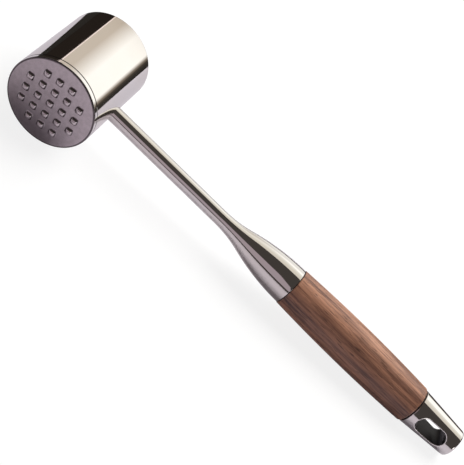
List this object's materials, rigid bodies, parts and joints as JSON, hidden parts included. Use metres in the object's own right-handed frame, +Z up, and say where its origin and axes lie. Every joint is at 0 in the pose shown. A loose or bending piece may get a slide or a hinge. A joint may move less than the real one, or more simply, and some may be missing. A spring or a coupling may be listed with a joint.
{
  "type": "meat mallet",
  "caption": "Round-headed steel meat mallet with a toothed and a flat striking face, a slim flared stem and a turned wooden grip that ends in a slotted steel cap.",
  "frame": {"origin": "middle of the footprint of the mallet lying on a table, at table height", "axes": "+X along the handle from head to butt, +Y along the head's centre line from the toothed to the flat face, +Z up"},
  "size_m": [0.3028, 0.061, 0.05],
  "materials": {
    "polished_steel": "mirror-polished stainless steel",
    "satin_steel": "satin stainless steel with polished tooth tips",
    "plain_steel": "bare machined steel",
    "rosewood": "oiled reddish-brown hardwood with fine long grain",
    "black_seal": "matt black rubber"
  },
  "bodies": {
    "root": {"head_shell": "polished_steel", "head_core": "plain_steel", "toothed_face": "satin_steel", "stem": "polished_steel", "tang_rod": "plain_steel", "front_seal": "black_seal", "grip": "rosewood", "tang_washer": "plain_steel", "tang_nut": "plain_steel", "rear_seal": "black_seal", "end_cap": "polished_steel"}
  },
  "joints": []
}
